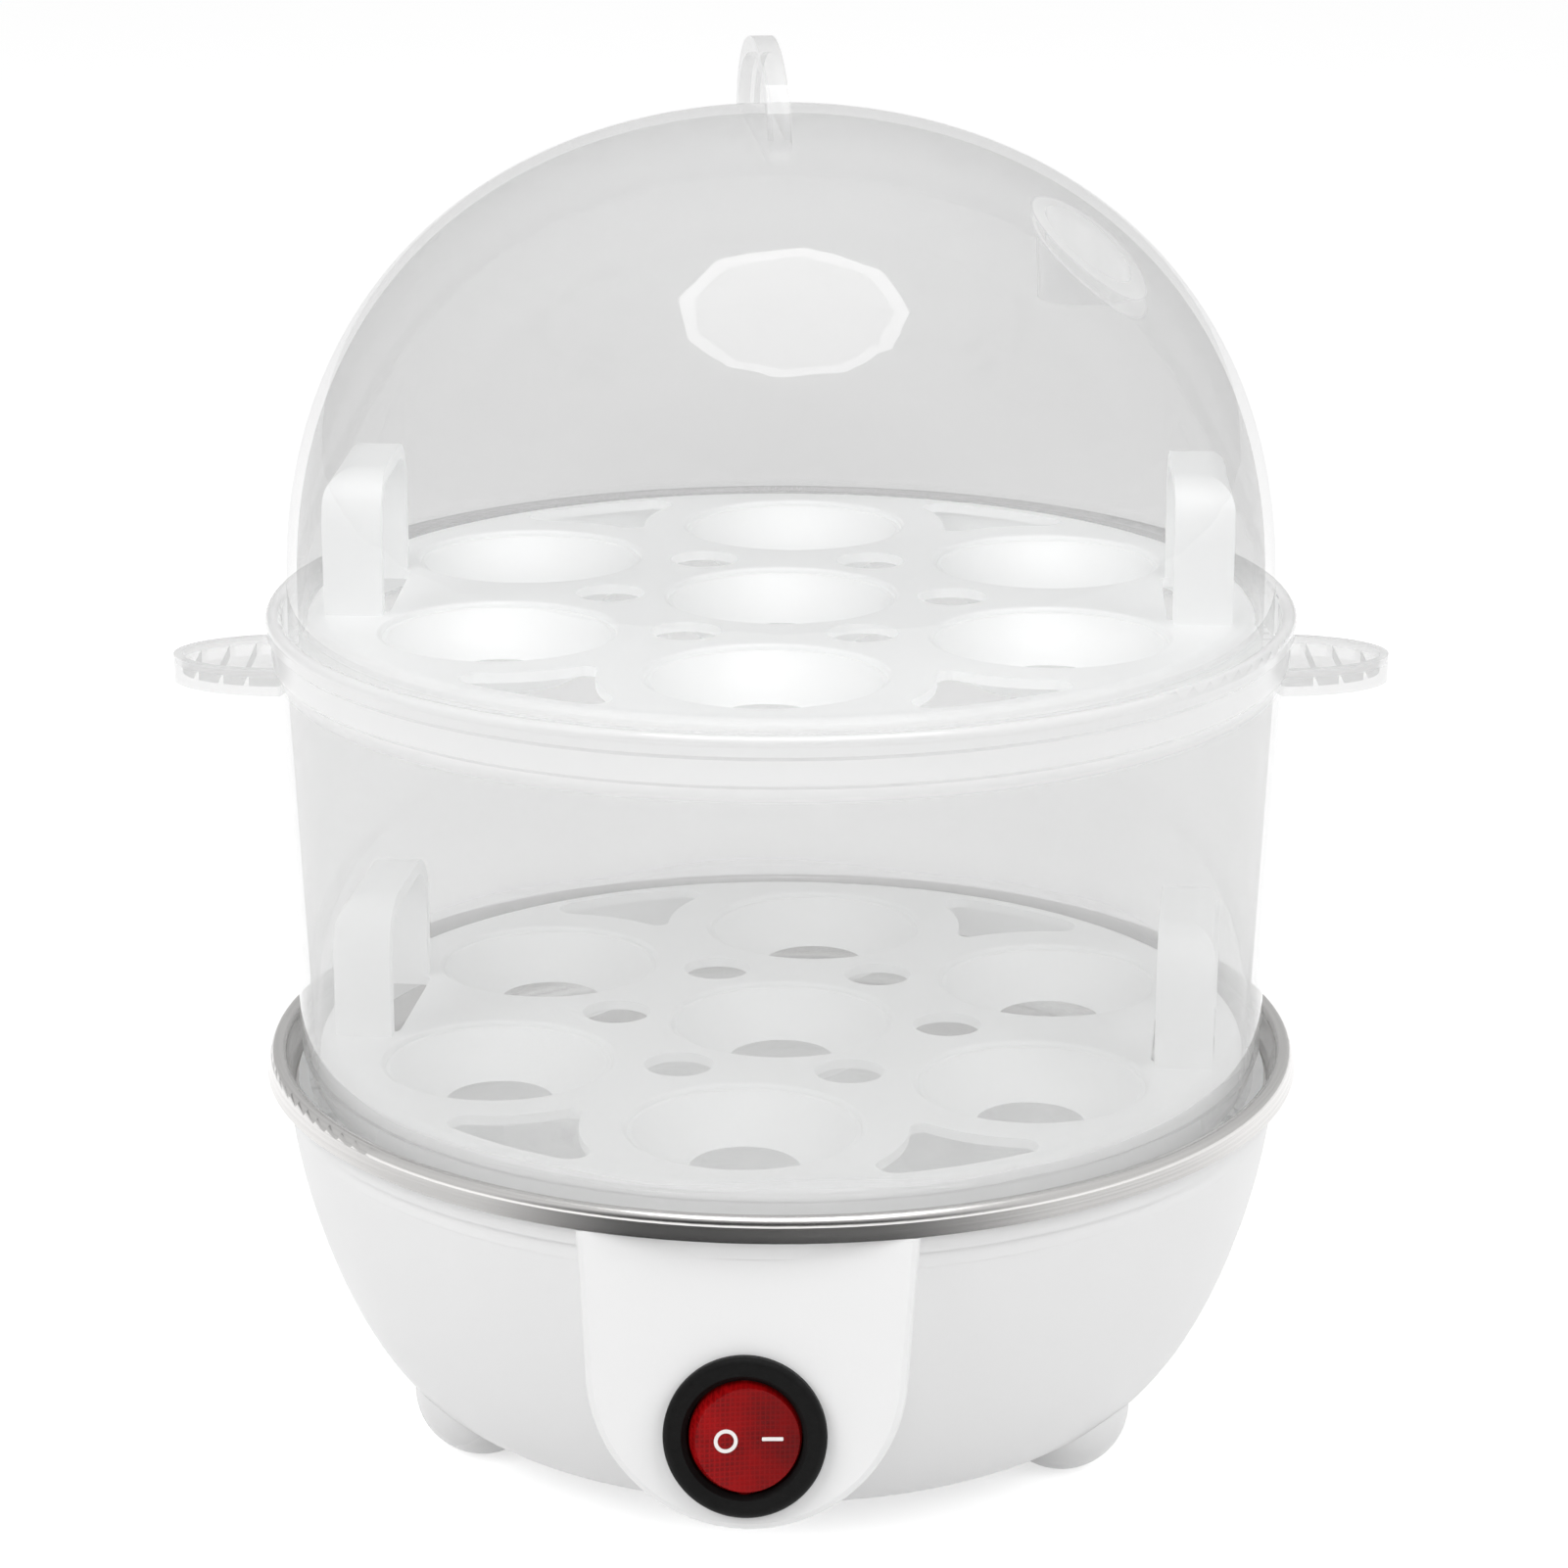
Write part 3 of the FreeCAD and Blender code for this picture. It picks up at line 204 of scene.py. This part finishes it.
def opening_box(name):
    openings = frame["record"]["physics"]["openings"]
    return next(opening["box_m"] for opening in openings if opening["name"] == name)


def collar_haze(finish):
    """The tier's collar, ears and stepped foot are thick, so they look whiter."""
    height = finish.spot()[2]
    collar_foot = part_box("upper_egg_tray")[0].z
    tray_top = opening_box("tier_inside")[0][2]
    collar = finish.fade(height, collar_foot - 0.003, collar_foot, 0.0, 0.65)
    return collar + finish.fade(height, tray_top - 0.003, tray_top + 0.004, 0.10, 0.0)


def grip_haze(finish):
    """So do the lid's edge, its crown, its fin and the tube of its steam vent."""
    across, ahead, height = finish.spot()
    low, high = opening_box("steam_vent")
    aside = across - (low[0] + high[0]) / 2
    along = ahead - (low[1] + high[1]) / 2
    lid_foot, lid_top = (corner.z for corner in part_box("lid"))
    dome_top = lid_top - FIN_HEIGHT
    tube = finish.fade((aside * aside + along * along) ** 0.5, VENT_RADIUS, VENT_RADIUS + 0.0005, 0.30, 0.0)
    crown = finish.fade(height, dome_top - 0.040, dome_top, 0.0, 0.24)
    edge = finish.fade(height, lid_foot + 0.003, lid_foot + 0.008, 0.45, 0.0)
    return tube + edge + crown


def white_plastic(name, level, rough, grain, warm=0.0):
    """Satin white moulding with a very fine grain and faint unevenness."""
    finish = Finish(name)
    drift = finish.noise(14.0, 2.0, 0.5)
    colour = finish.blend(drift, (level, level - warm * 0.5, level - warm, 1), grey(level + 0.02))
    normal = finish.bump(finish.noise(grain, 2.0, 0.6), 0.00004, 0.35)
    roughness = finish.fade(finish.noise(60.0, 2.0, 0.5), 0.3, 0.7, rough - 0.04, rough + 0.05)
    return finish.close(finish.surface({
        "Base Color": colour, "Roughness": roughness, "IOR": 1.47, "Normal": normal,
        "Subsurface Weight": 0.08, "Subsurface Radius": (0.004, 0.004, 0.004)}))


def tray_plastic():
    """Pale polypropylene that lets some light through, with a faint painted glow."""
    finish = Finish("pale_polypropylene")
    drift = finish.noise(30.0, 3.0, 0.5)
    colour = finish.blend(drift, (0.85, 0.855, 0.855, 1), (0.89, 0.892, 0.89, 1))
    normal = finish.bump(finish.noise(900.0, 2.0, 0.5), 0.00003, 0.3)
    roughness = finish.fade(drift, 0.3, 0.7, 0.30, 0.40)
    # Painted glow: the white emission brightens the trays as light scattered inside the plastic would; the trays
    # are no lamp.
    skin = finish.surface({"Base Color": colour, "Roughness": roughness, "IOR": 1.49, "Normal": normal,
                           "Emission Color": grey(1.0), "Emission Strength": 0.15})
    through = finish.node("ShaderNodeBsdfTranslucent", {}, {"Color": (0.96, 0.965, 0.965, 1)})
    return finish.close(finish.mix(0.38, skin, through))


def spun_steel():
    """Stainless steel with fine lines round the axis; inside the dish it is painted lighter and given a faint
    painted glow.
    """
    finish = Finish("spun_stainless_steel")
    radius, height, angle = about_axis(finish)
    lines = finish.node("ShaderNodeCombineXYZ", {}, {
        0: radius * 2600.0, 1: height * 2600.0, 2: angle * 1.2})
    fine = finish.noise(1.0, 3.0, 0.6, lines)
    broad = finish.noise(0.12, 2.0, 0.5, lines)
    smear = finish.noise(16.0, 2.0, 0.5)
    # Painted light: inside the dish the steel is painted lighter than the rim, to brighten it where little light
    # reaches.
    painted_dish_light = finish.fade(radius, DISH_RADIUS, DISH_RADIUS + 0.003, 1.0, 0.0)
    rolled = finish.blend(fine, (0.56, 0.55, 0.54, 1), (0.80, 0.79, 0.78, 1))
    colour = finish.blend(painted_dish_light, rolled, finish.blend(fine, grey(0.76), grey(0.90)))
    roughness = finish.fade(broad * 0.6 + smear * 0.4, 0.3, 0.7, 0.13, 0.27)
    normal = finish.bump(fine, 0.00002, 0.3)
    # The white emission inside the dish is a painted glow; the steel is no lamp.
    return finish.close(finish.surface({
        "Base Color": colour, "Metallic": 1.0, "Roughness": roughness, "Normal": normal,
        "Emission Color": finish.blend(painted_dish_light, grey(0.0), grey(1.0)), "Emission Strength": 0.09}))


def plain_metal(name, low, high, rough, scale):
    finish = Finish(name)
    drift = finish.noise(scale, 4.0, 0.6)
    normal = finish.bump(finish.noise(scale * 12.0, 2.0, 0.5), 0.00003, 0.3)
    return finish.close(finish.surface({
        "Base Color": finish.blend(drift, low, high), "Metallic": 1.0,
        "Roughness": finish.fade(drift, 0.3, 0.7, rough - 0.07, rough + 0.08), "Normal": normal}))


def black_grain():
    """Black switch moulding with a spark-eroded grain."""
    finish = Finish("black_grained_moulding")
    grain = finish.node("ShaderNodeTexVoronoi", {"feature": "SMOOTH_F1"}, {
        "Vector": finish.place(), "Scale": 3200.0})
    colour = finish.blend(finish.noise(700.0, 2.0, 0.5), grey(0.004), grey(0.009))
    normal = finish.bump(grain, 0.00006, 0.5)
    return finish.close(finish.surface({
        "Base Color": colour, "Roughness": finish.fade(grain, 0.0, 0.7, 0.42, 0.58), "Normal": normal,
        "Specular IOR Level": 0.12}))


def red_lens():
    """Deep red rocker moulding with a fine square grid under its gloss, painted shade on its right side and a
    faint painted glow.
    """
    finish = Finish("red_rocker_lens")
    across, _, height = finish.spot()
    pitch = 9000.0

    def bars(coordinate):
        wave = finish.node("ShaderNodeMath", {"operation": "SINE"}, {0: coordinate * pitch})
        return finish.fade(wave, 0.2, 0.9)

    grid = finish.either(bars(across), bars(height))
    depth = finish.noise(260.0, 2.0, 0.5)
    deep = finish.blend(finish.fade(depth, 0.35, 0.65), (0.12, 0.001, 0.002, 1), (0.27, 0.002, 0.003, 1))
    lit = finish.blend(grid * 0.4, deep, (0.42, 0.006, 0.007, 1))
    # Painted shade: the face is painted darker towards its right side, which the light reaches less.
    shade = finish.fade(across, -0.004, 0.007, 0.0, 0.65)
    colour = finish.blend(shade, lit, (0.07, 0.001, 0.001, 1))
    normal = finish.bump(grid, 0.00003, 0.25)
    # The red emission adds a faint painted glow.
    return finish.close(finish.surface({
        "Base Color": colour, "Roughness": finish.fade(depth, 0.3, 0.7, 0.14, 0.24), "Normal": normal,
        "Specular IOR Level": 0.12, "Emission Color": (0.5, 0.004, 0.004, 1), "Emission Strength": 0.05}))


def dress(material, *names):
    for name in names:
        slots = NODES[name].data.materials
        for i in range(len(slots)):
            slots[i] = material
        if not slots:
            slots.append(material)


CLEAR = clear_plastic("clear_dome_plastic", near_level=0.95, far_level=0.83, edge_level=0.86, veil=0.015,
                      edge_veil=0.03, edge_shine=0.30, tone=0.90, rough=0.12, heavy=grip_haze)
MILKY = clear_plastic("milky_tier_plastic", near_level=0.96, far_level=0.90, edge_level=0.88, veil=0.22,
                      edge_veil=0.10, edge_shine=0.90, tone=0.80, rough=0.18, heavy=collar_haze)
WHITE = white_plastic("white_base_plastic", 0.86, 0.32, 1100.0)
BALL = white_plastic("white_foot_plastic", 0.85, 0.30, 900.0)
COVER = white_plastic("white_cover_plastic", 0.80, 0.50, 700.0)
SOFT = white_plastic("white_bush_plastic", 0.76, 0.55, 500.0, 0.02)
PALE = tray_plastic()
STEEL = spun_steel()
BLACK = black_grain()
RED = red_lens()
PLATED = plain_metal("plated_screw_steel", grey(0.60), grey(0.78), 0.30, 300.0)
ALLOY = plain_metal("turned_alloy", grey(0.62), grey(0.76), 0.38, 200.0)
SCALE = plain_metal("heat_tinted_tube", (0.24, 0.20, 0.17, 1), (0.42, 0.38, 0.36, 1), 0.45, 120.0)
BRASS = plain_metal("terminal_brass", (0.62, 0.45, 0.18, 1), (0.80, 0.64, 0.30, 1), 0.32, 240.0)
BROWN = white_plastic("moulded_thermostat_body", 0.05, 0.55, 700.0)
SLEEVE = white_plastic("woven_fuse_sleeve", 0.70, 0.75, 420.0, 0.06)

dress(CLEAR, "lid")
dress(MILKY, "steamer_tier")
dress(PALE, "upper_egg_tray", "lower_egg_tray")
dress(STEEL, "heating_plate")
dress(WHITE, "base_housing")
dress(BALL, "foot_rear", "foot_front_left", "foot_front_right")
dress(COVER, "bottom_cover")
dress(SOFT, "cord_bush")
dress(BLACK, "switch_housing")
dress(RED, "rocker_button")
dress(PLATED, "cover_screws", "plate_screws")
dress(ALLOY, "plate_spacers", "thermostat_bracket")
dress(SCALE, "heating_element")
dress(BROWN, "thermostat")
dress(SLEEVE, "thermal_fuse")
dress(BRASS, "switch_terminals")


# Marks on the rocker's face

HINGE = next(joint for joint in frame["joints"] if joint["name"] == "rocker_tilt")
PIVOT = Vector(HINGE["pos_m"])
DOWN = Vector(HINGE["axis"])
OUT = Vector((0, DOWN.z, -DOWN.y))
TILT = Matrix.Rotation(math.radians(-10.0), 3, DOWN)
FACE_HEIGHT = 0.00296
FACE_DISH = 0.060
MARK_PROUD = 0.00008
MARK_STROKE = 0.00052
MARK_DEPTH = 0.0003


def face_frame():
    """From the rocker's own flat face to the cooker: across, up, out."""
    across, up, out = TILT @ Vector((1, 0, 0)), TILT @ -DOWN, TILT @ OUT
    turn = Matrix((across, up, out)).transposed().to_4x4()
    return Matrix.Translation(PIVOT + out * FACE_HEIGHT) @ turn


def lay_on_face(work):
    """Lays a flat mark on the hollow of the face."""
    for vertex in work.verts:
        hollow = FACE_DISH - math.sqrt(FACE_DISH ** 2 - vertex.co.x ** 2)
        vertex.co.z += hollow - MARK_PROUD / 2


def mark_piece(name, work, material):
    lay_on_face(work)
    work.transform(face_frame())
    bmesh.ops.recalc_face_normals(work, faces=work.faces)
    mesh = bpy.data.meshes.new(name)
    work.to_mesh(mesh)
    work.free()
    mesh.materials.append(material)
    piece = bpy.data.objects.new(name, mesh)
    SCENE.collection.objects.link(piece)
    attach(piece, "rocker")
    return piece


def ring_mark(centre, radius, stroke, height):
    """Round mark, turned from its small rectangular section."""
    work = bmesh.new()
    section = [work.verts.new(centre + Vector((radius + a * stroke / 2, 0, b * height / 2)))
               for a, b in ((-1, -1), (1, -1), (1, 1), (-1, 1))]
    face = work.faces.new(section)
    bmesh.ops.spin(work, geom=[face] + list(face.edges) + section, cent=centre, axis=(0, 0, 1),
                   angle=math.tau, steps=64, use_merge=True)
    bmesh.ops.remove_doubles(work, verts=work.verts, dist=1e-7)
    return work


def bar_mark(centre, length, stroke, height):
    """Straight mark with softly rounded corners."""
    work = bmesh.new()
    bmesh.ops.create_cube(work, size=1.0)
    bmesh.ops.scale(work, vec=(length, stroke, height), verts=work.verts)
    uprights = [edge for edge in work.edges if abs((edge.verts[0].co - edge.verts[1].co).z) > height / 2]
    bmesh.ops.bevel(work, geom=uprights, offset=stroke * 0.25, offset_type="OFFSET", affect="EDGES",
                    segments=4, profile=0.5, material=-1)
    long = [edge for edge in work.edges if edge.calc_length() > length / 2]
    bmesh.ops.subdivide_edges(work, edges=long, cuts=6)
    bmesh.ops.translate(work, vec=centre, verts=work.verts)
    return work


def printed_white():
    finish = Finish("printed_white")
    speck = finish.noise(4000.0, 2.0, 0.5)
    colour = finish.blend(speck, (0.86, 0.80, 0.79, 1), (0.95, 0.93, 0.92, 1))
    roughness = finish.fade(speck, 0.3, 0.7, 0.30, 0.45)
    return finish.close(finish.surface({"Base Color": colour, "Roughness": roughness}))


INK = printed_white()
mark_piece("rocker_off_mark", ring_mark(Vector((-0.0031, 0, 0)), 0.00142, MARK_STROKE, MARK_DEPTH), INK)
mark_piece("rocker_on_mark", bar_mark(Vector((0.0035, 0.0002, 0)), 0.0030, MARK_STROKE, MARK_DEPTH), INK)


# Studio

def sheet(name, radius, sides, place, material):
    """Flat many-sided piece of the studio."""
    work = bmesh.new()
    bmesh.ops.create_circle(work, cap_ends=True, segments=sides, radius=radius, matrix=place)
    mesh = bpy.data.meshes.new(name)
    work.to_mesh(mesh)
    work.free()
    mesh.materials.append(material)
    piece = bpy.data.objects.new(name, mesh)
    SCENE.collection.objects.link(piece)
    return piece


def backdrop():
    """Pale floor that reads as white, keeps the contact shadow and is clear from below."""
    finish = Finish("white_studio_floor")
    path = finish.node("ShaderNodeLightPath")
    mirrored = finish.either(path.out("Is Glossy Ray"), path.out("Is Transmission Ray"))
    seen = finish.either(path.out("Is Camera Ray"), mirrored)
    colour = finish.blend(finish.noise(40.0, 2.0, 0.5), grey(0.74), grey(0.76))
    floor = finish.surface({"Base Color": colour, "Roughness": 0.9, "Specular IOR Level": 0.0})
    lift = finish.node("ShaderNodeEmission", {}, {"Color": grey(1.0), "Strength": seen * 0.62})
    above = finish.node("ShaderNodeAddShader", {}, {0: floor, 1: lift})
    under = finish.node("ShaderNodeNewGeometry").out("Backfacing")
    finish.close(finish.mix(under, above, finish.pane(1.0)))
    sheet("studio_floor", 6.0, 96, Matrix(), finish.material)


def octabox():
    """Face of the lamp overhead, ten-sided and brighter at its border, as the dome mirrors it."""
    for name, radius, height, strength in (("octabox_border", 0.47, 1.36, 6.0),
                                           ("octabox_cloth", 0.40, 1.35, 4.0)):
        finish = Finish(name)
        cloth = finish.blend(finish.noise(3.0, 2.0, 0.5), grey(0.86), grey(1.0))
        finish.close(finish.node("ShaderNodeEmission", {}, {"Color": cloth, "Strength": strength}))
        lamp = sheet(name, radius, 10, Matrix.Translation((0.065, -0.25, height)), finish.material)
        lamp.visible_camera = False
        lamp.visible_diffuse = False
        lamp.visible_shadow = False


def sky():
    """White surround, dim in a mirror behind the camera and as a light."""
    finish = Finish("white_surround", surround=True)
    path = finish.node("ShaderNodeLightPath")
    ahead = finish.node("ShaderNodeSeparateXYZ", {}, {0: finish.node("ShaderNodeTexCoord")}).out("Y")
    room = finish.fade(ahead, -0.86, -0.46, 0.03, 0.80) - finish.fade(ahead, 0.2, 0.9, 0.0, 0.18)
    camera_ray, mirror_ray = path.out("Is Camera Ray"), path.out("Is Glossy Ray")
    level = camera_ray + (1.0 - camera_ray) * (mirror_ray * room + (1.0 - mirror_ray) * 0.44)
    white = finish.node("ShaderNodeBackground", {}, {"Color": grey(1.0), "Strength": level})
    SCENE.world = finish.close(white)


def softbox(name, place, aim, size, power):
    lamp = bpy.data.lights.new(name, "AREA")
    lamp.shape = "RECTANGLE"
    lamp.size, lamp.size_y = size
    lamp.energy = power
    box = bpy.data.objects.new(name, lamp)
    box.location = place
    box.rotation_euler = (Vector(aim) - Vector(place)).to_track_quat("-Z", "Y").to_euler()
    box.visible_glossy = False
    SCENE.collection.objects.link(box)


def camera():
    """Stands where the photograph was taken from."""
    lens = bpy.data.cameras.new("photo_camera")
    lens.lens, lens.sensor_width = 100.6, 36.0
    lens.clip_start, lens.clip_end = 0.02, 50.0
    eye = bpy.data.objects.new("photo_camera", lens)
    eye.location = (0.0399, -0.6450 + AXIS_Y, 0.2924)
    gaze = Vector((-math.sin(TURN) * math.cos(PITCH), math.cos(TURN) * math.cos(PITCH), -math.sin(PITCH)))
    eye.rotation_euler = gaze.to_track_quat("-Z", "Y").to_euler()
    SCENE.collection.objects.link(eye)
    SCENE.camera = eye


backdrop()
sky()
octabox()
camera()
softbox("overhead_lamp", (0.065, -0.25, 1.36), (0.065, -0.249, 0.0), (0.8, 0.8), 2.0)
softbox("left_softbox", (-0.9, -0.7, 0.9), (0, 0, 0.1), (0.7, 0.9), 7.4)
softbox("right_softbox", (0.9, -0.5, 0.8), (0, 0, 0.1), (0.6, 0.9), 5.3)
softbox("front_softbox", (0.05, -1.2, 0.75), (0, 0, 0.15), (0.30, 0.30), 1.5)
SCENE.view_settings.view_transform = "Standard"
